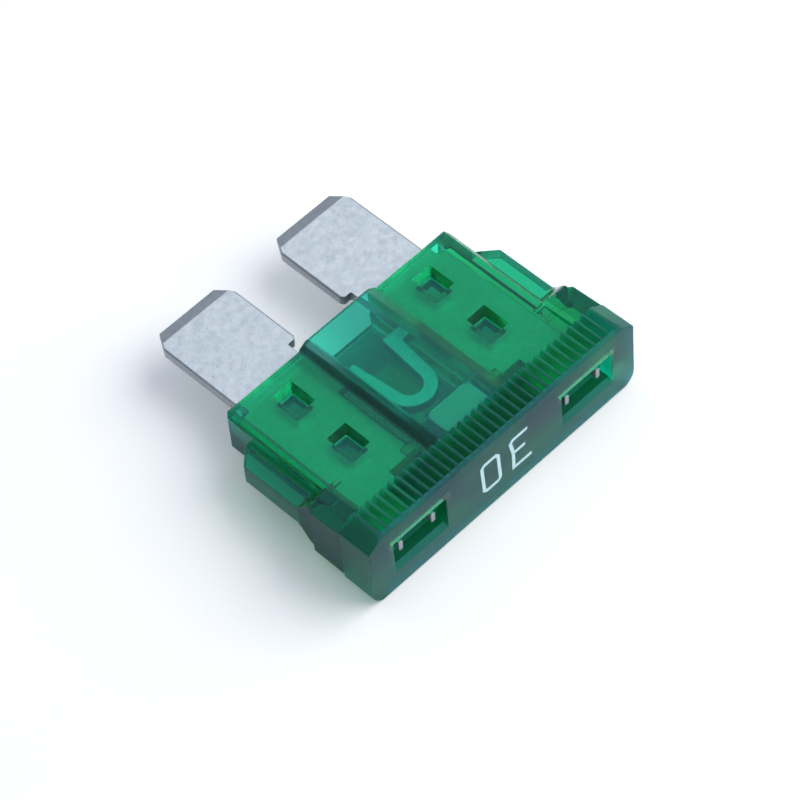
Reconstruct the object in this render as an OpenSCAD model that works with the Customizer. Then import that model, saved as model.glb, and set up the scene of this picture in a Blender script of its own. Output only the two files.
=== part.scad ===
// Automotive blade fuse: a moulded translucent housing around one stamped
// metal element, with a small blown-fuse indicator in the raised centre.
// It lies on its back: +Z is the front face and +Y points to the blade tips.
// Lengths run from the head end, so a length of zero is the numbered end face.

/* [Grip head] */
// Width of the head over both ears
head_w = 19.1; // [18.4:0.1:20]
// Depth of the ribbed head from back to front
head_t = 5.2; // [4.9:0.05:5.5]
// Length of the ribbed head
head_l = 2.15; // [1.9:0.05:2.3]
// Width cut from the two long front corners of the head
head_bevel = 0.87; // [0.5:0.01:1]
// Depth cut from the two long front corners of the head
head_fall = 0.65; // [0.5:0.05:0.8]
// Small bevel round the end face
face_bevel = 0.1; // [0.05:0.01:0.13]
// Slope on the inner ends of the ribs
rib_slope = 0.1; // [0.05:0.01:0.25]
// Distance between neighbouring grip ribs
rib_pitch = 0.5; // [0.4:0.05:0.8]
// Depth of the grooves between the ribs
rib_depth = 0.42; // [0.2:0.02:0.5]
// Width of the flat crest on each rib
rib_crest = 0.13; // [0.08:0.01:0.2]
// Plain rim that closes the grooves at the end face
rib_rim = 0.28; // [0.16:0.02:0.4]

/* [Body] */
// Width of the body between the rails
body_w = 16.15; // [15.8:0.05:16.5]
// Thickness of the body over its side panels
body_t = 3; // [2.85:0.05:3.1]
// Distance from the end face to the blade end of the body
body_l = 11.9; // [11.4:0.1:12.5]
// Bevel along the edges of the body
body_bevel = 0.3; // [0.15:0.05:0.45]
// Bevel along the front and back edges of the blade end
end_bevel = 0.12; // [0.06:0.01:0.16]
// Bevel on the two corners at the blade end
corner_bevel = 0.22; // [0.1:0.02:0.5]
// Length of the ears, from the end face to their shoulders
ear_l = 4.2; // [3.6:0.1:4.6]
// Distance from the centre line to the step up onto an ear
ear_in = 7.65; // [7.5:0.05:7.75]
// Height of the ears at their shoulders
ear_side = 3.3; // [3.1:0.05:3.5]
// Length of the slant at the end of an ear
ear_slant = 0.3; // [0.15:0.05:0.5]
// Width of the slant at the end of an ear
ear_cut = 0.35; // [0.2:0.05:0.5]
// Length of the curved neck between an ear and its rail
neck_l = 1.2; // [0.8:0.1:1.6]

/* [Side rails] */
// Width over both rails
rail_w = 18.7; // [18:0.05:18.9]
// Thickness of the rails
rail_t = 1.35; // [1.1:0.05:1.8]
// Distance from the end face to the end of the rails
rail_l = 10.1; // [8.8:0.1:10.4]
// Length of the slanted rail end
rail_slant = 0.85; // [0.5:0.05:1.3]
// Width left at the very end of a rail
rail_tip = 0.35; // [0.2:0.05:0.5]

/* [Raised centre] */
// Width of the raised centre where it meets the panels
centre_w = 5.5; // [5.2:0.1:5.6]
// Width of the flat top of the raised centre
centre_top_w = 4.15; // [3.9:0.05:4.6]
// Width of the rounded shoulder of the raised centre
centre_round = 0.1; // [0.05:0.05:0.3]
// Depth over both raised centres
centre_t = 3.85; // [3.75:0.05:4.2]
// Thickness of the plastic over the indicator chamber
chamber_wall = 0.55; // [0.4:0.05:0.65]
// Width of the chamber between the blades
chamber_w = 4.45; // [4.3:0.05:4.5]
// Distance from the end face to the chamber
chamber_start = 2.2; // [2.1:0.05:2.3]

/* [Stake pockets] */
// Distance of the pockets from the centre line
pocket_x = 5.05; // [4.6:0.05:5.4]
// Distance of the first row of pockets from the end face
pocket_near = 6; // [5.6:0.1:6.6]
// Distance of the second row of pockets from the end face
pocket_far = 9.9; // [9.2:0.1:10.2]
// Width of a pocket at its floor
pocket_w = 0.9; // [0.7:0.05:1.1]
// Length of a pocket at its floor
pocket_l = 1.35; // [1.1:0.05:1.5]
// Depth of a pocket
pocket_depth = 0.65; // [0.4:0.05:0.7]
// Slope of each pocket wall
pocket_slope = 0.22; // [0.1:0.02:0.3]
// Width of the hole in the blade under a pocket
stake_w = 1.1; // [0.8:0.05:1.3]
// Length of the hole in the blade under a pocket
stake_l = 1.5; // [1.2:0.05:1.7]

/* [Test windows] */
// Distance from the centre line to the near side of a window
window_in = 4.18; // [4:0.02:4.4]
// Distance from the centre line to the far side of a window
window_out = 7.92; // [7.7:0.02:8.1]
// Height of a window inside its bevels
window_t = 1.85; // [1.6:0.05:2]
// Depth of a window behind the end face
window_depth = 0.9; // [0.75:0.05:1.1]
// Depth of the slanted lips round a window
window_lip = 0.28; // [0.15:0.01:0.35]

/* [Fuse element] */
// Overall length from the end face to the blade tips
overall_l = 18.9; // [18:0.1:19.6]
// Thickness of the stamped sheet
sheet_t = 0.65; // [0.5:0.05:0.8]
// Gap between the two blades
blade_gap = 3.3; // [3.2:0.05:3.5]
// Width of each blade
blade_w = 5.22; // [5:0.02:5.4]
// Width cut from each corner at the tip
tip_cut_w = 0.65; // [0.4:0.05:0.9]
// Length cut from each corner at the tip
tip_cut_l = 1.1; // [0.7:0.05:1.5]
// Length of the thinned lead-in at the tip
tip_taper_l = 0.5; // [0.3:0.05:0.8]
// Thickness taken from each face at the very tip
tip_taper_t = 0.17; // [0.1:0.01:0.22]
// Bevel along the long edges of the blades
blade_bevel = 0.08; // [0.04:0.01:0.12]
// Length of blade between the body and the notch
notch_l = 1.4; // [1:0.1:1.8]
// Depth of the notch in the inner edge of a blade
notch_depth = 0.62; // [0.4:0.02:0.7]
// Extra width of each blade inside the body
shoulder_w = 0.45; // [0.2:0.05:0.5]
// Distance from the blade end of the body to the shoulder
shoulder_inset = 0.5; // [0.3:0.05:0.8]
// Distance from the centre line to the inner part of a blade
plate_in = 2.95; // [2.85:0.05:3.05]
// Distance from the end face to the inner part of a blade
plate_start = 3.5; // [3.3:0.1:3.6]
// Distance from the end face to the step where a blade widens inward
plate_step = 8.9; // [8.6:0.1:9.2]
// Width of the test tab
tab_w = 2.6; // [2.3:0.05:2.7]
// Distance from the end face to the test tab
tab_start = 1; // [0.95:0.05:1.1]
// Length of the two prongs on the test tab
prong_l = 0.7; // [0.4:0.05:0.8]
// Width of a prong
prong_w = 0.3; // [0.2:0.05:0.4]

/* [Fuse link] */
// Width of the link strip
link_w = 0.78; // [0.6:0.02:0.9]
// Width over the two legs of the link at its round end
link_span = 3; // [2.8:0.1:3.3]
// Extra width of each leg at its root
link_flare = 0.3; // [0.1:0.05:0.5]
// Distance from the end face to the round end of the link
link_start = 5.25; // [4.9:0.05:5.6]
// Distance from the end face to the far side of the link's roots
link_root = 9.75; // [9.7:0.05:10.4]

/* [Indicator] */
// Length of the indicator board along the chamber
board_l = 1.9; // [1.8:0.05:2]
// Width of the indicator board
board_w = 4.1; // [3.9:0.05:4.2]
// Thickness of the indicator board
board_t = 0.4; // [0.3:0.05:0.45]
// Width of the light
led_w = 2.9; // [2.6:0.05:3]
// Length of the light
led_l = 1.7; // [1.5:0.05:1.75]
// Cut on each corner of the light
led_cut = 0.25; // [0.1:0.05:0.35]
// Plastic left over the light
led_wall = 0.25; // [0.2:0.01:0.3]
// Width of the resistor
resistor_w = 1.6; // [1.4:0.05:1.8]
// Length of the resistor
resistor_l = 0.8; // [0.6:0.05:1]
// Thickness of the resistor
resistor_t = 0.45; // [0.35:0.05:0.5]
// Length of each end cap on the resistor
resistor_cap = 0.3; // [0.2:0.05:0.35]
// Step from the end caps down to the core of the resistor
resistor_step = 0.03; // [0.02:0.01:0.05]
// Thickness of the contact strips
contact_t = 0.15; // [0.12:0.01:0.2]
// Width of the contact strips
contact_w = 0.4; // [0.3:0.05:0.45]
// Length of contact strip that lies on a blade
contact_lap = 0.45; // [0.3:0.05:0.6]
// Length of contact strip that lies under the board
contact_foot = 0.6; // [0.4:0.05:0.7]

/* [Fits] */
// Clearance round the element in its slot
slot_gap = 0.04; // [0.03:0.01:0.06]
// Clearance round the indicator pieces
inner_gap = 0.05; // [0.03:0.01:0.08]

/* [Hidden] */
cut = 1;
mid = head_t / 2;
front = mid + body_t / 2;
back = mid - body_t / 2;
centre_front = mid + centre_t / 2;
sheet_front = mid + sheet_t / 2;
blade_in = blade_gap / 2;
blade_out = blade_in + blade_w;
plate_out = blade_out + shoulder_w;
tab_in = plate_out - tab_w;
shoulder_at = body_l - shoulder_inset;
notch_at = body_l + notch_l;
rib_count = floor((head_w / 2 - head_bevel) / rib_pitch);
chamber_front = centre_front - chamber_wall;
board_back = sheet_front + contact_t;
board_front = board_back + board_t;
light_front = centre_front - led_wall - inner_gap;
board_start = chamber_start + inner_gap;
board_mid = board_start + board_l / 2;
contact_mid = max(plate_start + contact_w / 2 + inner_gap, board_mid);
contact_reach = plate_in + contact_lap;
neck_start = ear_l + ear_slant - ear_cut / 4;
neck_steps = 8;
corner_steps = 4;
ear_low = mid - ear_side / 2;
ear_rise = mid - head_fall;
ear_lean = atan((ear_rise - ear_side / 2) / ear_l);
notch_corner = 0.2;

// Carries a profile drawn as width by depth along the length of the fuse.
module along(from, to) {
    translate([0, to, 0]) rotate([90, 0, 0]) linear_extrude(to - from) children();
}

// Carries a profile drawn as length by depth across the width of the fuse.
module across(from, to) {
    translate([from, 0, 0]) rotate([90, 0, 90]) linear_extrude(to - from) children();
}

// Puts the child on both sides of the centre line.
module both_sides() {
    children();
    mirror([1, 0, 0]) children();
}

// Puts the child on the front and on the back.
module both_faces() {
    children();
    translate([0, 0, head_t]) mirror([0, 0, 1]) children();
}

// The grooves that leave the grip ribs standing on the front of the head.
module rib_grooves() {
    groove_top = rib_pitch - rib_crest;
    groove_floor = groove_top / 4;
    for (i = [-rib_count : rib_count - 1])
        translate([(i + 0.5) * rib_pitch, 0, head_t]) along(rib_rim, head_l + cut)
            polygon([
                [-groove_floor / 2, -rib_depth], [groove_floor / 2, -rib_depth],
                [groove_top / 2, 0], [groove_top / 2, cut], [-groove_top / 2, cut], [-groove_top / 2, 0]
            ]);
}

// Side profile of the head, sloped at the ribs' inner ends and bevelled at the end face.
module head_profile() {
    polygon([
        [0, face_bevel], [face_bevel, 0], [head_l - rib_slope, 0], [head_l, rib_slope],
        [head_l, head_t - rib_slope], [head_l - rib_slope, head_t],
        [face_bevel, head_t], [0, head_t - face_bevel]
    ]);
}

// Outline of the head with its two back corners rounded.
module head_outline() {
    w = head_w / 2;
    r = ear_low;
    side = [for (i = [0 : corner_steps])
        [w - r + r * cos(90 * i / corner_steps), r - r * sin(90 * i / corner_steps)]];
    left = [for (i = [corner_steps : -1 : 0]) [-side[i][0], side[i][1]]];
    polygon(concat([[w, head_t]], side, left, [[-w, head_t]]));
}

// The flat cut along a front corner, which leans half as much as the ear behind it.
module corner_cut() {
    w = head_w / 2;
    translate([0, 0, head_t - head_fall]) rotate([-ear_lean / 2, 0, 0]) along(-cut, ear_l)
        polygon([
            [w + head_bevel, -head_fall], [w + head_bevel, 2 * head_fall],
            [w - 2 * head_bevel, 2 * head_fall]
        ]);
}

module head() {
    difference() {
        intersection() {
            along(0, head_l) head_outline();
            across(-head_w, head_w) head_profile();
        }
        both_faces() rib_grooves();
        both_sides() corner_cut();
    }
}

// The ears stand a little proud of the panels. Their front grows lower towards the blades and
// they end in slanted shoulders.
module ears() {
    w = head_w / 2;
    inner = body_w / 2 - body_bevel;
    ear_end = ear_l + ear_slant + ear_cut / 2;
    both_sides() intersection() {
        linear_extrude(head_t) polygon([
            [ear_in, face_bevel], [w, face_bevel], [w, ear_l], [w - ear_cut, ear_l + ear_slant],
            [inner, ear_end], [ear_in, ear_end]
        ]);
        translate([0, 0, mid]) across(0, head_w) polygon([
            [0, -ear_side / 2], [body_l, -ear_side / 2],
            [body_l, ear_side / 2], [ear_l, ear_side / 2], [0, ear_rise]
        ]);
    }
}

// Height of the neck over the rail, falling as a half wave.
function neck_rise(s) = (ear_side - rail_t) / 4 * (1 + cos(180 * s));

module necks() {
    top = [for (i = [0 : neck_steps])
        [neck_start + neck_l * i / neck_steps, rail_t / 2 + neck_rise(i / neck_steps)]];
    low = [for (i = [neck_steps : -1 : 0])
        [neck_start + neck_l * i / neck_steps, -rail_t / 2 - neck_rise(i / neck_steps)]];
    translate([0, 0, mid]) both_sides()
        across(body_w / 2 - cut, rail_w / 2) polygon(concat(top, low));
}

module rails() {
    w = rail_w / 2;
    inner = body_w / 2;
    translate([0, 0, mid - rail_t / 2]) both_sides() linear_extrude(rail_t)
        polygon([
            [inner - cut, ear_l], [w, ear_l], [w, rail_l - rail_slant],
            [inner + rail_tip, rail_l], [inner - cut, rail_l]
        ]);
}

// Side profile that bevels a bar of the given depth at the blade end.
module end_profile(depth) {
    t = depth / 2;
    translate([0, mid]) polygon([
        [head_l / 2, -t], [body_l - end_bevel, -t], [body_l, end_bevel - t],
        [body_l, t - end_bevel], [body_l - end_bevel, t], [head_l / 2, t]
    ]);
}

module body() {
    w = body_w / 2;
    t = body_t / 2;
    difference() {
        intersection() {
            translate([0, 0, mid]) along(0, body_l) polygon([
                [w, t - body_bevel], [w - body_bevel, t], [body_bevel - w, t], [-w, t - body_bevel],
                [-w, body_bevel - t], [body_bevel - w, -t], [w - body_bevel, -t], [w, body_bevel - t]
            ]);
            across(-body_w, body_w) end_profile(body_t);
        }
        both_sides() translate([w, body_l, 0]) rotate([0, 0, 45])
            cube([corner_bevel * sqrt(2), body_w, 4 * head_t], center = true);
    }
}

// The raised centre has straight slopes and a softened shoulder.
module raised_centre() {
    foot = centre_w / 2;
    top = centre_top_w / 2;
    t = centre_t / 2;
    shoulder = [[foot, body_t / 2], [top + centre_round, t - centre_round / 2], [top, t]];
    edge = [for (i = [len(shoulder) - 1 : -1 : 0]) [-shoulder[i][0], shoulder[i][1]]];
    half = concat(shoulder, edge);
    intersection() {
        translate([0, 0, mid]) along(head_l / 2, body_l)
            polygon(concat(half, [for (i = [len(half) - 1 : -1 : 0]) [half[i][0], -half[i][1]]]));
        across(-centre_w, centre_w) end_profile(centre_t);
    }
}

// Side profile of a pocket whose walls spread evenly from its floor.
module pocket_profile(width) {
    w = width / 2;
    polygon([
        [-w, -pocket_depth], [w, -pocket_depth],
        [w + 2 * pocket_slope, pocket_depth], [-w - 2 * pocket_slope, pocket_depth]
    ]);
}

module pocket(at) {
    reach = pocket_l + pocket_slope;
    translate([pocket_x, at, front]) intersection() {
        along(-reach, reach) pocket_profile(pocket_w);
        across(-reach, reach) pocket_profile(pocket_l);
    }
}

module window() {
    z_low = mid - window_t / 2;
    z_high = mid + window_t / 2;
    across(window_in, window_out)
        polygon([
            [-cut, z_low - window_lip - cut], [window_lip, z_low], [window_depth, z_low],
            [window_depth, z_high], [window_lip, z_high], [-cut, z_high + window_lip + cut]
        ]);
}

// Outline of one blade with its tab, drawn on the right of the centre line.
module blade_outline() {
    tab_end = tab_start - prong_l;
    polygon([
        [tab_in, tab_end], [tab_in + prong_w, tab_end],
        [tab_in + prong_w, tab_start], [plate_out - prong_w, tab_start],
        [plate_out - prong_w, tab_end], [plate_out, tab_end],
        [plate_out, shoulder_at], [blade_out, shoulder_at],
        [blade_out, overall_l - tip_cut_l], [blade_out - tip_cut_w, overall_l],
        [blade_in + tip_cut_w, overall_l], [blade_in, overall_l - tip_cut_l],
        [blade_in, notch_at + notch_corner], [blade_in + notch_corner, notch_at],
        [blade_in + notch_depth, notch_at],
        [blade_in + notch_depth, plate_step], [plate_in, plate_step],
        [plate_in, plate_start], [tab_in, plate_start]
    ]);
}

// The link is a strip bent like a hairpin, whose legs spread a little towards the blades.
module link_outline() {
    r = link_span / 2;
    eye = link_start + r;
    root = link_root - link_w;
    inner = r - link_w;
    translate([0, eye]) difference() {
        circle(r, $fn = 64);
        circle(inner, $fn = 64);
        translate([-r, 0]) square([link_span, r]);
    }
    both_sides() polygon([
        [inner, eye], [r, eye], [r + link_flare, root], [plate_in, root], [plate_in, link_root],
        [inner + link_flare, link_root]
    ]);
}

// Outline of the holes that the housing is staked into.
module stake_holes() {
    for (at = [pocket_near, pocket_far])
        translate([pocket_x, at]) square([stake_w, stake_l], center = true);
}

// Side profile of the sheet with both faces thinned at the tip.
module sheet_profile() {
    t = sheet_t / 2;
    polygon([
        [0, -t], [overall_l - tip_taper_l, -t], [overall_l, tip_taper_t - t],
        [overall_l, t - tip_taper_t], [overall_l - tip_taper_l, t], [0, t]
    ]);
}

module sheet() {
    translate([0, 0, mid]) intersection() {
        union() {
            both_sides() translate([0, 0, -sheet_t]) linear_extrude(2 * sheet_t) difference() {
                blade_outline();
                stake_holes();
            }
            translate([0, 0, -sheet_t]) linear_extrude(2 * sheet_t) link_outline();
        }
        across(-head_w, head_w) sheet_profile();
    }
}

// Prisms that take the sharp edges off the parts of the blades outside the body.
module blade_edges() {
    side = blade_bevel * sqrt(2);
    free_l = overall_l - body_l - inner_gap;
    for (x = [blade_in, blade_out], z = [mid - sheet_t / 2, mid + sheet_t / 2])
        translate([x, overall_l - free_l / 2, z]) rotate([0, 45, 0])
            cube([side, free_l, side], center = true);
}

module fuse_element() {
    color("#c2ccd4") difference() {
        sheet();
        both_sides() blade_edges();
    }
}

// The open space that the element slides into from the blade end.
module element_slot() {
    t = sheet_t / 2 + slot_gap;
    half = plate_out + slot_gap;
    inner = tab_in - slot_gap;
    translate([0, 0, mid - t]) linear_extrude(2 * t) union() {
        translate([-half, plate_start - slot_gap]) square([2 * half, body_l]);
        both_sides() translate([inner, tab_start / 2]) square([half - inner, plate_start]);
    }
}

module chamber() {
    w = chamber_w / 2;
    depth = 2 * (chamber_front - mid);
    translate([-w, chamber_start, mid - depth / 2]) cube([chamber_w, body_l, depth]);
}

module light_pocket() {
    translate([-led_w / 2 - inner_gap, board_mid - led_l / 2 - inner_gap, mid])
        cube([led_w + 2 * inner_gap, led_l + 2 * inner_gap, light_front + inner_gap - mid]);
}

module contact_channel() {
    translate([-contact_reach - inner_gap, contact_mid - contact_w / 2 - inner_gap, mid])
        cube([2 * (contact_reach + inner_gap), contact_w + 2 * inner_gap, board_back + inner_gap - mid]);
}

module housing() {
    color("#1f8f66", 0.6) difference() {
        union() {
            head();
            ears();
            necks();
            rails();
            body();
            raised_centre();
        }
        both_sides() window();
        both_sides() pocket(pocket_near);
        both_sides() pocket(pocket_far);
        element_slot();
        chamber();
        light_pocket();
        contact_channel();
    }
}

module indicator_board() {
    color("#27452f") translate([-board_w / 2, board_start, board_back]) cube([board_w, board_l, board_t]);
}

module indicator_light() {
    w = led_w / 2;
    l = led_l / 2;
    color("#e9efe6") translate([0, board_mid, board_front]) linear_extrude(light_front - board_front)
        polygon([
            [w, l - led_cut], [w - led_cut, l], [led_cut - w, l], [-w, l - led_cut],
            [-w, led_cut - l], [led_cut - w, -l], [w - led_cut, -l], [w, led_cut - l]
        ]);
}

// The resistor has a dark core between two slightly thicker end caps.
module indicator_resistor() {
    step = 2 * resistor_step;
    color("#23272b") translate([0, board_mid, board_back - resistor_t / 2]) union() {
        cube([resistor_w - resistor_cap, resistor_l - step, resistor_t - step], center = true);
        both_sides() translate([(resistor_w - resistor_cap) / 2, 0, 0])
            cube([resistor_cap, resistor_l, resistor_t], center = true);
    }
}

module contact() {
    from = board_w / 2 - contact_foot;
    translate([from, contact_mid - contact_w / 2, sheet_front])
        cube([contact_reach - from, contact_w, contact_t]);
}

module left_contact() {
    color("#c9a56a") mirror([1, 0, 0]) contact();
}

module right_contact() {
    color("#c9a56a") contact();
}

translate([0, -overall_l / 2, 0]) {
    housing();
    fuse_element();
    indicator_board();
    indicator_light();
    indicator_resistor();
    left_contact();
    right_contact();
}
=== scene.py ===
import bpy
import bmesh
from math import radians
from mathutils import Matrix, Vector


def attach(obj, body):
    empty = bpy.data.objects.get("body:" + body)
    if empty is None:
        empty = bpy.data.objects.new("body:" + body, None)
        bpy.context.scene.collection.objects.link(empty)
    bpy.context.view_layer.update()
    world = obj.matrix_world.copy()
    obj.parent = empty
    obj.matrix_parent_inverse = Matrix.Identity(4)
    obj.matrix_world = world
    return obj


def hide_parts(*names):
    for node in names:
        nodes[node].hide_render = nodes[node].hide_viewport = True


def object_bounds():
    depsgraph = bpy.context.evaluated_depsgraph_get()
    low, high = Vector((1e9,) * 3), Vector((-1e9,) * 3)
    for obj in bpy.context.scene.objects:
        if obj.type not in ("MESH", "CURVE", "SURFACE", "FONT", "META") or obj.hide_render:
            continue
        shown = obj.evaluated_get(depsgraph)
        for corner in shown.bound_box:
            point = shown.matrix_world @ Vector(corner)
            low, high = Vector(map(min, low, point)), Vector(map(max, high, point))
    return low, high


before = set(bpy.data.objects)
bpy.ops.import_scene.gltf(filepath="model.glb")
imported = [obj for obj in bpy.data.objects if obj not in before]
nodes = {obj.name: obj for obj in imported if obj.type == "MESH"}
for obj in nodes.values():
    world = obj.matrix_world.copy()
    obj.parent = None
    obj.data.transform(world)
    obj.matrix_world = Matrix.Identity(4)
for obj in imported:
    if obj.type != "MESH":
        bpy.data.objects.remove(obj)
cadLow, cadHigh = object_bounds()
print("frame loaded:", len(nodes), "nodes")

scene = bpy.context.scene
scene.view_settings.view_transform = "Standard"
mm = 0.001
endFace = cadLow.y  # the numbered face
middle = (cadLow.z + cadHigh.z) / 2  # plane of the stamped sheet


# small helpers for modelling by hand
meshCare = {
    "weld": 0.0015 * mm,  # loose corners of a solid's copy closer than this are merged
    "flatAngle": 0.6,  # degrees between faces that count as one
    "smoothAngle": 35,
    "fullWeight": 100,
}


def clearSelection():
    if bpy.context.object and bpy.context.object.mode != "OBJECT":
        bpy.ops.object.mode_set(mode="OBJECT")
    bpy.ops.object.select_all(action="DESELECT")


def pick(piece):
    clearSelection()
    bpy.context.view_layer.objects.active = piece
    piece.select_set(True)


def openMesh(piece, mode="FACE"):
    pick(piece)
    bpy.ops.object.mode_set(mode="EDIT")
    bpy.ops.mesh.select_mode(type=mode)


def closeMesh():
    bpy.ops.object.mode_set(mode="OBJECT")


def settle(piece):
    pick(piece)
    bpy.ops.object.transform_apply(location=True, rotation=True, scale=True)


def giveMaterial(piece, material):
    piece.data.materials.clear()
    piece.data.materials.append(material)


def copyOfNode(nodeName, pieceName):
    # a merged copy of a node's mesh, ready for rounded edges
    source = nodes[nodeName]
    piece = bpy.data.objects.new(pieceName, source.data.copy())
    scene.collection.objects.link(piece)
    piece.data.name = pieceName
    openMesh(piece, "VERT")
    bpy.ops.mesh.select_all(action="SELECT")
    bpy.ops.mesh.remove_doubles(threshold=meshCare["weld"])
    bpy.ops.mesh.dissolve_limited(angle_limit=radians(meshCare["flatAngle"]))
    closeMesh()
    return piece


def roundEdges(piece, width, segments, angle):
    bevel = piece.modifiers.new("roundedEdges", "BEVEL")
    bevel.width = width
    bevel.segments = segments
    bevel.limit_method = "ANGLE"
    bevel.angle_limit = radians(angle)
    bevel.use_clamp_overlap = False
    bevel.miter_outer = "MITER_ARC"
    pick(piece)
    bpy.ops.object.modifier_apply(modifier=bevel.name)
    bpy.ops.object.shade_smooth_by_angle(angle=radians(meshCare["smoothAngle"]))
    flatten = piece.modifiers.new("flatFaces", "WEIGHTED_NORMAL")
    flatten.weight = meshCare["fullWeight"]
    flatten.keep_sharp = True
    bpy.ops.object.modifier_apply(modifier=flatten.name)


# helpers for building materials
def newGroup(name, inputs, outputs):
    group = bpy.data.node_groups.new(name, "ShaderNodeTree")
    for label, kind, value in inputs:
        socket = group.interface.new_socket(label, in_out="INPUT", socket_type=kind)
        socket.default_value = value
    for label, kind in outputs:
        group.interface.new_socket(label, in_out="OUTPUT", socket_type=kind)
    entry = group.nodes.new("NodeGroupInput")
    result = group.nodes.new("NodeGroupOutput")
    return group, entry.outputs, result.inputs


def addNode(tree, kind, values=None, links=None, **settings):
    node = tree.nodes.new(kind)
    for key, value in settings.items():
        setattr(node, key, value)
    for key, value in (values or {}).items():
        node.inputs[key].default_value = value
    for key, source in (links or {}).items():
        tree.links.new(source, node.inputs[key])
    return node


def fillSocket(tree, socket, source):
    # a socket takes a plain value or a link from another node
    if isinstance(source, bpy.types.NodeSocket):
        tree.links.new(source, socket)
    else:
        socket.default_value = source


def mathNode(tree, operation, first, second, clamped=False):
    node = addNode(tree, "ShaderNodeMath", operation=operation, use_clamp=clamped)
    fillSocket(tree, node.inputs[0], first)
    fillSocket(tree, node.inputs[1], second)
    return node.outputs[0]


def vectorNode(tree, operation, first, second=None):
    node = addNode(tree, "ShaderNodeVectorMath", operation=operation)
    fillSocket(tree, node.inputs[0], first)
    if second is not None:
        fillSocket(tree, node.inputs[1], second)
    return node.outputs[0]


def mixValues(tree, factor, first, second):
    node = addNode(tree, "ShaderNodeMix")
    for index, source in ((0, factor), (2, first), (3, second)):
        fillSocket(tree, node.inputs[index], source)
    return node.outputs[0]


def mixColors(tree, factor, first, second, blend="MIX"):
    node = addNode(tree, "ShaderNodeMix", data_type="RGBA", blend_type=blend)
    for index, source in ((0, factor), (6, first), (7, second)):
        fillSocket(tree, node.inputs[index], source)
    return node.outputs[2]


def mapRange(tree, value, start, end, low=0.0, high=1.0):
    node = addNode(tree, "ShaderNodeMapRange")
    sources = {"Value": value, "From Min": start, "From Max": end, "To Min": low, "To Max": high}
    for label, source in sources.items():
        fillSocket(tree, node.inputs[label], source)
    return node.outputs[0]


def waveBump(tree, shader, height, distance):
    bump = addNode(tree, "ShaderNodeBump", {"Strength": 1.0, "Distance": distance}, {"Height": height})
    tree.links.new(bump.outputs[0], shader.inputs["Normal"])


def newMaterial(name):
    material = bpy.data.materials.new(name)
    material.use_nodes = True
    tree = material.node_tree
    shader = tree.nodes["Principled BSDF"]
    return material, tree, shader


def placeGroup(tree, group, values, coords=None):
    node = tree.nodes.new("ShaderNodeGroup")
    node.node_tree = group
    for key, value in values.items():
        node.inputs[key].default_value = value
    if coords is not None:
        tree.links.new(coords, node.inputs["Place"])
    return node


def objectCoords(tree):
    return addNode(tree, "ShaderNodeTexCoord").outputs["Object"]


def objectNormal(tree):
    return addNode(tree, "ShaderNodeTexCoord").outputs["Normal"]


vectorKind, valueKind = "NodeSocketVector", "NodeSocketFloat"
noiseLook = {
    "perMetre": (1000, 1000, 1000),  # sizes in the groups are in millimetres
    "patches": {"Detail": 5.0, "Roughness": 0.6},
    "specks": {"Detail": 3.0, "Roughness": 0.7},
    "speckGate": (0.58, 0.72),
    "wave": {"Detail": 1.0, "Roughness": 0.4},
    "skin": {"Detail": 2.0, "Roughness": 0.5},
}


def noiseOfSize(group, place, size, character):
    scale = mathNode(group, "DIVIDE", 1.0, size)
    return addNode(group, "ShaderNodeTexNoise", character, {"Vector": place, "Scale": scale}).outputs[0]


def buildMottle():
    # cloudy patches with small sharper specks in them, as on rolled zinc or a worn moulding
    group, given, out = newGroup("mottle", [
        ("Place", vectorKind, (0, 0, 0)), ("Patch Size", valueKind, 1.0), ("Speck Size", valueKind, 0.1),
        ("Speck Amount", valueKind, 0.5)], [("Patches", valueKind), ("Specks", valueKind)])
    inMm = vectorNode(group, "MULTIPLY", given["Place"], noiseLook["perMetre"])
    patches = noiseOfSize(group, inMm, given["Patch Size"], noiseLook["patches"])
    specks = noiseOfSize(group, inMm, given["Speck Size"], noiseLook["specks"])
    gate = mapRange(group, specks, *noiseLook["speckGate"])
    group.links.new(patches, out["Patches"])
    group.links.new(mathNode(group, "MULTIPLY", gate, given["Speck Amount"]), out["Specks"])
    return group


def buildRipple():
    # slow waves and a fine skin for the bump of a moulded or printed surface
    group, given, out = newGroup("ripple", [
        ("Place", vectorKind, (0, 0, 0)), ("Wave Size", valueKind, 2.0), ("Skin Size", valueKind, 0.1),
        ("Skin Share", valueKind, 0.1)], [("Height", valueKind)])
    inMm = vectorNode(group, "MULTIPLY", given["Place"], noiseLook["perMetre"])
    wave = noiseOfSize(group, inMm, given["Wave Size"], noiseLook["wave"])
    skin = noiseOfSize(group, inMm, given["Skin Size"], noiseLook["skin"])
    share = mathNode(group, "MULTIPLY", skin, given["Skin Share"])
    group.links.new(mathNode(group, "ADD", wave, share), out["Height"])
    return group


def buildFacing():
    # how squarely a face looks along each axis, whichever way round
    group, given, out = newGroup("facing", [
        ("Direction", vectorKind, (0, 0, 1)), ("Start", valueKind, 0.9), ("Full", valueKind, 0.97)],
        [("Sides", valueKind), ("Ends", valueKind), ("Faces", valueKind)])
    size = vectorNode(group, "ABSOLUTE", given["Direction"])
    parts = addNode(group, "ShaderNodeSeparateXYZ", {}, {0: size}).outputs
    for part, label in zip(parts, ("Sides", "Ends", "Faces")):
        group.links.new(mapRange(group, part, given["Start"], given["Full"]), out[label])
    return group


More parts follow.
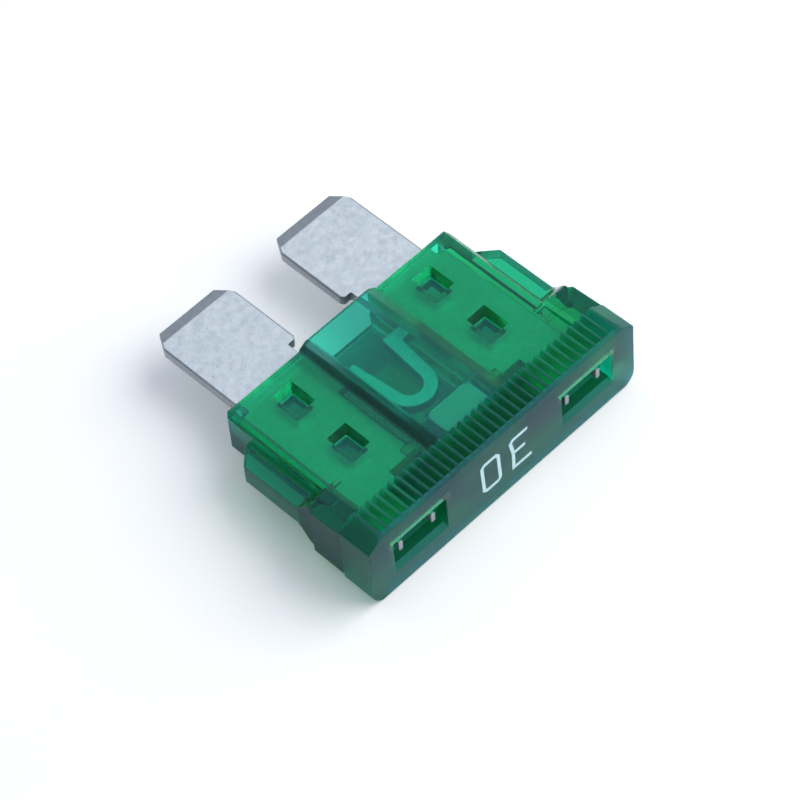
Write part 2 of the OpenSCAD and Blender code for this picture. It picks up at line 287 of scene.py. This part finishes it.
def buildBoxZone():
    # one inside a box, fading to nothing over a short way around it
    group, given, out = newGroup("boxZone", [
        ("Place", vectorKind, (0, 0, 0)), ("Middle", vectorKind, (0, 0, 0)),
        ("Half Size", vectorKind, (1, 1, 1)), ("Fade", valueKind, 0.1)], [("Inside", valueKind)])
    shift = vectorNode(group, "SUBTRACT", given["Place"], given["Middle"])
    past = vectorNode(group, "SUBTRACT", vectorNode(group, "ABSOLUTE", shift), given["Half Size"])
    parts = addNode(group, "ShaderNodeSeparateXYZ", {}, {0: past}).outputs
    worst = mathNode(group, "MAXIMUM", mathNode(group, "MAXIMUM", parts[0], parts[1]), parts[2])
    group.links.new(mapRange(group, worst, given["Fade"], 0.0), out["Inside"])
    return group


mottle = buildMottle()
ripple = buildRipple()
facing = buildFacing()
boxZone = buildBoxZone()
print("surface groups built")


def zoneMask(tree, coords, zone, fade):
    zoneMiddle, zoneHalf = zone
    values = {"Middle": zoneMiddle, "Half Size": zoneHalf, "Fade": fade}
    return placeGroup(tree, boxZone, values, coords).outputs["Inside"]


def facingMasks(tree, start, full):
    masks = placeGroup(tree, facing, {"Start": start, "Full": full})
    tree.links.new(objectNormal(tree), masks.inputs["Direction"])
    return masks.outputs


# the green housing
plasticLook = {
    "tint": (0.05, 0.93, 0.745, 1.0),  # absorbed by depth
    "density": 2450.0,
    "ior": 1.5,
    "clear": 0.96,
    "haze": (0.34, 0.95, 0.88, 1.0),
    # the dull walls and ribs are bluer: the plastic's tint with a painted blue reflection
    "matteTintAndPaintedReflection": (0.3, 0.68, 0.98, 1.0),
    # specular tint: every reflection is painted blue-green
    "gloss": (0.12, 0.62, 1.0, 1.0),
    "patches": {"Patch Size": 1.2, "Speck Size": 0.09, "Speck Amount": 1.0},
    "patchSpan": (0.3, 0.75),
    "polish": (0.03, 0.1),
    "matte": 0.42,
    "ribMatte": 0.5,
    "wallFacing": (0.88, 0.94),
    "ripple": {"Wave Size": 1.6, "Skin Size": 0.12, "Skin Share": 0.06},
    "waveBump": 0.012 * mm,
    "edgeWidth": 0.035 * mm,
    "edgeSteps": 2,
    "edgeAngle": 24,
}
# boxes on the housing by middle and half size, with z measured from the middle plane
plasticZones = {
    "ribs": ((0, 8.4 * mm, 2.6 * mm), (12 * mm, 1.2 * mm, 0.9 * mm)),
    "windowRims": ((6.05 * mm, 9.45 * mm, 1.25 * mm), (2.1 * mm, 0.3 * mm, 0.3 * mm)),
    "windowLedges": ((6.05 * mm, 8.3 * mm, -1.1 * mm), (2.3 * mm, 1.25 * mm, 0.3 * mm)),
    "flanks": ((2.45 * mm, 0, 1.9 * mm), (0.38 * mm, 7 * mm, 0.4 * mm)),
}
plasticFades = {"ribs": 0.1 * mm, "windowRims": 0.05 * mm, "windowLedges": 0.03 * mm, "flanks": 0.06 * mm}
plasticPaintedShade = {
    # painted shade on the underside faces, where the floor below lies in shadow
    "back": (0.3, 0.38, 0.3, 1.0),
    "backEdge": (2.2 * mm, 2.0 * mm),
    "fade": 0.06 * mm,
    # painted shade on the left flank and the right edge of the raised centre, the two ears and the chamber
    # floor
    "places": [
        ((-2.5 * mm, -2.25 * mm, 1.9 * mm), (0.33 * mm, 4.75 * mm, 0.4 * mm), (1.0, 0.28, 0.36, 1.0)),
        ((1.98 * mm, -2.25 * mm, 1.9 * mm), (0.17 * mm, 4.75 * mm, 0.4 * mm), (1.0, 0.62, 0.85, 1.0)),
        ((-9.0 * mm, -5.7 * mm, 0), (1.0 * mm, 1.6 * mm, 2.4 * mm), (0.5, 0.5, 0.54, 1.0)),
        ((9.0 * mm, -5.7 * mm, 0), (1.0 * mm, 1.6 * mm, 2.4 * mm), (0.5, 0.5, 0.54, 1.0)),
        ((0, -2.1 * mm, -1.4 * mm), (1.15 * mm, 2.1 * mm, 0.6 * mm), (0.3, 0.68, 0.4, 1.0)),
    ],
}


def plasticRoughness(tree, scuff, walls, ribs, ledges, flanks):
    # polished panels, with the ribs, walls, window ledges and flanks rubbed dull
    worn = mathNode(tree, "MAXIMUM", ledges, ribs)
    rubbed = mathNode(tree, "MAXIMUM", walls, worn)
    matte = mathNode(tree, "MAXIMUM", rubbed, flanks)
    dulled = mixValues(tree, ribs, plasticLook["matte"], plasticLook["ribMatte"])
    gloss = mapRange(tree, scuff, *plasticLook["patchSpan"], *plasticLook["polish"])
    return mixValues(tree, matte, gloss, dulled)


def paintedShadeOnPlastic(tree, place, centred, faces):
    # painted shade: the underside and the places listed are darker, all multiplied on the haze
    height = addNode(tree, "ShaderNodeSeparateXYZ", {}, {0: place}).outputs["Z"]
    low = mapRange(tree, height, *plasticPaintedShade["backEdge"])
    backs = mathNode(tree, "MULTIPLY", low, faces)
    shade = mixColors(tree, backs, (1, 1, 1, 1), plasticPaintedShade["back"])
    for zoneMiddle, zoneHalf, zoneTint in plasticPaintedShade["places"]:
        inside = zoneMask(tree, centred, (zoneMiddle, zoneHalf), plasticPaintedShade["fade"])
        shade = mixColors(tree, inside, shade, zoneTint)
    return shade


def greenPlastic():
    material, tree, shader = newMaterial("greenPlastic")
    place = objectCoords(tree)
    skin = placeGroup(tree, ripple, plasticLook["ripple"], place).outputs["Height"]
    scuff = placeGroup(tree, mottle, plasticLook["patches"], place).outputs["Patches"]
    look = facingMasks(tree, *plasticLook["wallFacing"])
    centred = vectorNode(tree, "SUBTRACT", place, (0, 0, middle))
    folded = vectorNode(tree, "ABSOLUTE", centred)
    # left and right are folded here too, but the front and the back stay apart
    apart = addNode(tree, "ShaderNodeMix", {1: (0, 0, 1)}, {4: folded, 5: centred}, data_type="VECTOR",
                    factor_mode="NON_UNIFORM").outputs[1]
    coords = {"ribs": folded, "windowRims": apart, "windowLedges": apart, "flanks": folded}
    masks = {}
    for name, zone in plasticZones.items():
        masks[name] = zoneMask(tree, coords[name], zone, plasticFades[name])
    flat = mathNode(tree, "MAXIMUM", look["Sides"], look["Ends"])
    walls = mathNode(tree, "SUBTRACT", flat, masks["windowRims"], clamped=True)
    rough = plasticRoughness(tree, scuff, walls, masks["ribs"], masks["windowLedges"], masks["flanks"])
    # a painted blue reflection on the dull walls and ribs, over the plastic's tint
    dull = mathNode(tree, "MAXIMUM", walls, masks["ribs"])
    haze = mixColors(tree, dull, plasticLook["haze"], plasticLook["matteTintAndPaintedReflection"])
    # the haze with the painted shade multiplied on
    hazeWithPaintedShade = mixColors(tree, 1.0, haze, paintedShadeOnPlastic(tree, place, centred, look["Faces"]), blend="MULTIPLY")
    tree.links.new(hazeWithPaintedShade, shader.inputs["Base Color"])
    shader.inputs["Transmission Weight"].default_value = plasticLook["clear"]
    # painted reflection colour: the reflections are tinted blue-green
    shader.inputs["Specular Tint"].default_value = plasticLook["gloss"]
    shader.inputs["IOR"].default_value = plasticLook["ior"]
    tree.links.new(rough, shader.inputs["Roughness"])
    waveBump(tree, shader, skin, plasticLook["waveBump"])
    body = addNode(tree, "ShaderNodeVolumeAbsorption",
                   {"Color": plasticLook["tint"], "Density": plasticLook["density"]})
    tree.links.new(body.outputs[0], tree.nodes["Material Output"].inputs["Volume"])
    return material


housing = copyOfNode("housing", "mouldedHousing")
roundEdges(housing, plasticLook["edgeWidth"], plasticLook["edgeSteps"], plasticLook["edgeAngle"])
giveMaterial(housing, greenPlastic())
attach(housing, "root")
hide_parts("housing")
print("housing:", len(housing.data.polygons), "faces")


# the stamped element
zincLook = {
    "pale": (0.72, 0.775, 0.8, 1.0),
    "deep": (0.63, 0.68, 0.71, 1.0),
    "speck": (0.13, 0.13, 0.13, 1.0),
    # painted shade on the faces not square to the sheet
    "paintedTiltShade": (0.56, 0.56, 0.58, 1.0),
    "marks": {"Patch Size": 0.4, "Speck Size": 0.1, "Speck Amount": 0.5},
    "colorSpan": (0.35, 0.65),
    "roughSpan": (0.3, 0.7),
    "roughness": (0.42, 0.6),
    "ripple": {"Wave Size": 0.35, "Skin Size": 0.07, "Skin Share": 0.6},
    "waveBump": 0.012 * mm,
    "flatFacing": (0.975, 0.998),
    "edgeWidth": 0.06 * mm,
    "edgeSteps": 3,
    "edgeAngle": 12,
    "taperFrom": 0.5 * mm,
    "taperReach": 0.02 * mm,
    "taperGrowth": 0.2 * mm,
    "taperSpread": 1.052,  # keeps the longer taper on the cut corners
    "bladeMiddle": 4.26 * mm,
}


def bladeZinc():
    material, tree, shader = newMaterial("bladeZinc")
    place = objectCoords(tree)
    marks = placeGroup(tree, mottle, zincLook["marks"], place).outputs
    skin = placeGroup(tree, ripple, zincLook["ripple"], place).outputs["Height"]
    span = mapRange(tree, marks["Patches"], *zincLook["colorSpan"])
    base = mixColors(tree, span, zincLook["deep"], zincLook["pale"])
    spotted = mixColors(tree, marks["Specks"], base, zincLook["speck"])
    rough = mapRange(tree, marks["Patches"], *zincLook["roughSpan"], *zincLook["roughness"])
    # cut edges and the thinned tips, the faces not square to the sheet, get painted shade and look darker
    # than the rolled faces
    flat = facingMasks(tree, *zincLook["flatFacing"])["Faces"]
    shade = mixColors(tree, flat, zincLook["paintedTiltShade"], (1, 1, 1, 1))
    tree.links.new(mixColors(tree, 1.0, spotted, shade, blend="MULTIPLY"), shader.inputs["Base Color"])
    tree.links.new(rough, shader.inputs["Roughness"])
    waveBump(tree, shader, skin, zincLook["waveBump"])
    shader.inputs["Metallic"].default_value = 1.0
    return material


def lengthenTaper(piece):
    # the thinned tips reach a little further down the blades
    line = cadHigh.y - zincLook["taperFrom"]
    for side in (-1, 1):
        openMesh(piece, "VERT")
        bpy.ops.mesh.select_all(action="DESELECT")
        mesh = bmesh.from_edit_mesh(piece.data)
        for vert in mesh.verts:
            vert.select = abs(vert.co.y - line) < zincLook["taperReach"] and vert.co.x * side > 0
        mesh.select_flush_mode()
        bmesh.update_edit_mesh(piece.data)
        bpy.ops.transform.translate(value=(0, -zincLook["taperGrowth"], 0))
        bpy.ops.transform.resize(value=(zincLook["taperSpread"], 1, 1),
                                 center_override=(side * zincLook["bladeMiddle"], line, middle))
        closeMesh()


element = copyOfNode("fuse_element", "stampedElement")
lengthenTaper(element)
roundEdges(element, zincLook["edgeWidth"], zincLook["edgeSteps"], zincLook["edgeAngle"])
giveMaterial(element, bladeZinc())
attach(element, "root")
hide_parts("fuse_element")
print("element:", len(element.data.polygons), "faces")


# the indicator pieces
def softPlastic(name, pale, deep, roughness, marks):
    material, tree, shader = newMaterial(name)
    patches = placeGroup(tree, mottle, marks, objectCoords(tree)).outputs["Patches"]
    tree.links.new(mixColors(tree, patches, pale, deep), shader.inputs["Base Color"])
    shader.inputs["Roughness"].default_value = roughness
    return material


indicatorMarks = {"Patch Size": 0.3, "Speck Size": 0.06, "Speck Amount": 0.4}
indicatorLook = {
    "indicator_board": ("boardResin", (0.03, 0.09, 0.05, 1), (0.02, 0.06, 0.035, 1), 0.5),
    "indicator_light": ("lightBody", (0.44, 0.53, 0.34, 1), (0.36, 0.46, 0.29, 1), 0.45),
    "indicator_resistor": ("resistorBody", (0.03, 0.03, 0.035, 1), (0.015, 0.015, 0.02, 1), 0.4),
    "left_contact": ("stripBrass", (0.7, 0.5, 0.25, 1), (0.55, 0.38, 0.18, 1), 0.35),
}
for nodeName, look in indicatorLook.items():
    giveMaterial(nodes[nodeName], softPlastic(*look, indicatorMarks))
brass = nodes["left_contact"].data.materials[0]
brass.node_tree.nodes["Principled BSDF"].inputs["Metallic"].default_value = 1.0
giveMaterial(nodes["right_contact"], brass)
print("indicator dressed")


# the rating number on the end face
ratingLook = {
    "stroke": 0.225 * mm,
    "zeroHalf": (0.585 * mm, 1.1 * mm),  # to the middle of the stroke
    "threeHalf": (0.65 * mm, 1.16 * mm),
    "corner": 0.17 * mm,
    "waist": 0.13 * mm,
    "zeroAt": -1.035 * mm,
    "threeAt": 1.1 * mm,
    "heightAt": 2.69 * mm,
    "lean": -0.045,  # sideways shift for each unit of height
    "proud": 0.012 * mm,
    "weld": 0.002 * mm,
    "sharpest": 0.5,  # keeps a tight corner from growing a spike
    "armStart": 0.43,  # of the stroke, where the arm of the 3 leaves its spine
    "marks": {"Patch Size": 0.25, "Speck Size": 0.05, "Speck Amount": 0.5},
    "pale": (0.62, 0.88, 0.92, 1),
    "deep": (0.47, 0.76, 0.8, 1),
    "roughness": 0.4,
}


def strokeSides(path, closed):
    # the two mitred sides of a stroke along a path of (x, z) points
    half = ratingLook["stroke"] / 2
    count = len(path)
    sides = []
    for i in range(count):
        here = Vector(path[i])
        before = (here - Vector(path[i - 1])).normalized() if closed or i > 0 else None
        after = (Vector(path[(i + 1) % count]) - here).normalized() if closed or i < count - 1 else None
        before, after = before or after, after or before
        across = Vector((-(before + after).y, (before + after).x)).normalized()
        reach = half / max(ratingLook["sharpest"], across.dot(Vector((-after.y, after.x))))
        sides.append((here + across * reach, here - across * reach))
    return sides


def drawStroke(name, path, middleX, closed=False):
    # one short edge is extruded from point to point, as a pen would go
    def onFace(point):
        x = middleX + point.x + ratingLook["lean"] * point.y
        return Vector((x, endFace, ratingLook["heightAt"] + point.y))
    sides = strokeSides(path, closed)
    clearSelection()
    bpy.ops.mesh.primitive_plane_add(size=ratingLook["stroke"], location=(0, 0, 0))
    piece = bpy.context.object
    piece.name = name
    openMesh(piece, "VERT")
    mesh = bmesh.from_edit_mesh(piece.data)
    mesh.verts.ensure_lookup_table()
    corners = mesh.faces[:][0].verts[:]
    for vert, spot in zip(corners, (sides[0][0], sides[0][1], sides[1][1], sides[1][0])):
        vert.co = onFace(spot)
    for vert in mesh.verts:
        vert.select = vert in corners[2:]
    mesh.select_flush_mode()
    bmesh.update_edit_mesh(piece.data)
    stops = sides[2:] + (sides[:1] if closed else [])
    for pair in stops:
        bpy.ops.mesh.extrude_edges_move()
        mesh = bmesh.from_edit_mesh(piece.data)
        moved = [v for v in mesh.verts if v.select]
        previous = sides[(sides.index(pair) - 1) % len(sides)]
        for vert in moved:
            first = (vert.co - onFace(previous[0])).length < (vert.co - onFace(previous[1])).length
            vert.co = onFace(pair[0] if first else pair[1])
        bmesh.update_edit_mesh(piece.data)
    bpy.ops.mesh.select_all(action="SELECT")
    bpy.ops.mesh.remove_doubles(threshold=ratingLook["weld"])
    closeMesh()
    return piece


def finishDigit(parts, name):
    pick(parts[0])
    for part in parts:
        part.select_set(True)
    if len(parts) > 1:
        bpy.ops.object.join()
    digit = bpy.context.object
    digit.name = name
    settle(digit)
    openMesh(digit)
    bpy.ops.mesh.select_all(action="SELECT")
    bpy.ops.mesh.extrude_region_move(TRANSFORM_OT_translate={"value": (0, -ratingLook["proud"], 0)})
    bpy.ops.mesh.select_all(action="SELECT")
    bpy.ops.mesh.normals_make_consistent(inside=False)
    closeMesh()
    giveMaterial(digit, ratingMaterial)
    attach(digit, "root")


ratingMaterial = softPlastic("ratingInk", ratingLook["pale"], ratingLook["deep"], ratingLook["roughness"],
                             ratingLook["marks"])
corner, waist = ratingLook["corner"], ratingLook["waist"]
third = corner / 3  # overhang of the open ends of the 3
wide, high = ratingLook["zeroHalf"]
zeroPath = [(wide - corner, high), (wide, high - corner), (wide, corner - high), (wide - corner, -high),
            (corner - wide, -high), (-wide, corner - high), (-wide, high - corner), (corner - wide, high)]
finishDigit([drawStroke("ratingZero", zeroPath, ratingLook["zeroAt"], closed=True)], "ratingZero")
wide, high = ratingLook["threeHalf"]
threePath = [(wide - third, high), (corner - wide, high), (-wide, high - corner), (waist - wide, third),
             (third - wide, -high), (wide + third, -high)]
armPath = [(waist - wide + ratingLook["stroke"] * ratingLook["armStart"], third), (wide / 2, third)]
finishDigit([drawStroke("ratingThree", threePath, ratingLook["threeAt"]),
             drawStroke("threeWaist", armPath, ratingLook["threeAt"])], "ratingThree")
print("rating drawn")


# floor and light
stageLook = {
    "floorSize": 3.0,
    "floorDrop": 0.01 * mm,
    "floorTones": ((0.9, 0.9, 0.9, 1), (0.94, 0.94, 0.94, 1)),
    "floorGrain": {"Patch Size": 20.0, "Speck Size": 2.0, "Speck Amount": 0.1},
    "floorRoughness": 0.9,
    "floorGlow": 0.13,
    "skyTop": (0.64, 0.7, 0.8, 1.0),
    "skyLow": (0.08, 0.1, 0.14, 1.0),
    "skyLean": (0.3, 0.25, 0.85),
    "skySpan": (0.1, 0.85),
    "keyEnergy": 1.55,
    "keyPlace": (0.22, -0.16, 0.25),
    "keySize": 0.42,
    "keyColor": (1.0, 0.98, 0.96),
}


def floorMaterial():
    material, tree, shader = newMaterial("paperFloor")
    grain = placeGroup(tree, mottle, stageLook["floorGrain"], objectCoords(tree)).outputs["Patches"]
    tree.links.new(mixColors(tree, grain, *stageLook["floorTones"]), shader.inputs["Base Color"])
    shader.inputs["Roughness"].default_value = stageLook["floorRoughness"]
    rays = addNode(tree, "ShaderNodeLightPath").outputs
    seen = mathNode(tree, "MAXIMUM", rays["Is Camera Ray"], rays["Is Glossy Ray"])
    seenToo = mathNode(tree, "MAXIMUM", seen, rays["Is Transmission Ray"])
    shader.inputs["Emission Color"].default_value = (1, 1, 1, 1)
    glow = mathNode(tree, "MULTIPLY", seenToo, stageLook["floorGlow"])
    tree.links.new(glow, shader.inputs["Emission Strength"])
    return material


clearSelection()
floorHeight = cadLow.z - stageLook["floorDrop"]
bpy.ops.mesh.primitive_plane_add(size=stageLook["floorSize"], location=(0, 0, floorHeight))
floor = bpy.context.object
floor.name = "paperFloor"
giveMaterial(floor, floorMaterial())


def softLamp(name, place, size, energy, color):
    lampData = bpy.data.lights.new(name, "AREA")
    lampData.shape = "SQUARE"
    lampData.size = size
    lampData.energy = energy
    lampData.color = color
    lamp = bpy.data.objects.new(name, lampData)
    scene.collection.objects.link(lamp)
    lamp.location = place
    lamp.rotation_euler = (-Vector(place)).to_track_quat("-Z", "Y").to_euler()


softLamp("keyLamp", stageLook["keyPlace"], stageLook["keySize"], stageLook["keyEnergy"],
         stageLook["keyColor"])

world = bpy.data.worlds.new("softRoom")
scene.world = world
world.use_nodes = True
worldTree = world.node_tree
background = worldTree.nodes["Background"]
direction = addNode(worldTree, "ShaderNodeTexCoord").outputs["Generated"]
height = addNode(worldTree, "ShaderNodeVectorMath", {1: stageLook["skyLean"]}, {0: direction},
                 operation="DOT_PRODUCT").outputs["Value"]
skyStart, skyFull = stageLook["skySpan"]
rise = addNode(worldTree, "ShaderNodeMapRange", {"From Min": skyStart, "From Max": skyFull},
               {"Value": height}, interpolation_type="SMOOTHSTEP").outputs[0]
sky = mixColors(worldTree, rise, stageLook["skyLow"], stageLook["skyTop"])
worldTree.links.new(sky, background.inputs["Color"])
print("stage set")


# the camera stands where the photo was taken from
cameraLook = {
    "place": (-74.044 * mm, -88.118 * mm, 153.659 * mm),
    "right": (0.700794, -0.710691, -0.061684),
    "up": (0.598025, 0.538147, 0.593939),
    "lens": 166.195,
    "sensor": 36,
    "clip": (0.001, 10),
}
cameraData = bpy.data.cameras.new("photoCamera")
cameraData.lens = cameraLook["lens"]
cameraData.sensor_width = cameraLook["sensor"]
cameraData.clip_start, cameraData.clip_end = cameraLook["clip"]
camera = bpy.data.objects.new("photoCamera", cameraData)
scene.collection.objects.link(camera)
right, up = Vector(cameraLook["right"]), Vector(cameraLook["up"])
turn = Matrix((right, up, right.cross(up))).transposed().to_4x4()
camera.matrix_world = Matrix.Translation(cameraLook["place"]) @ turn
scene.camera = camera

print("camera set")
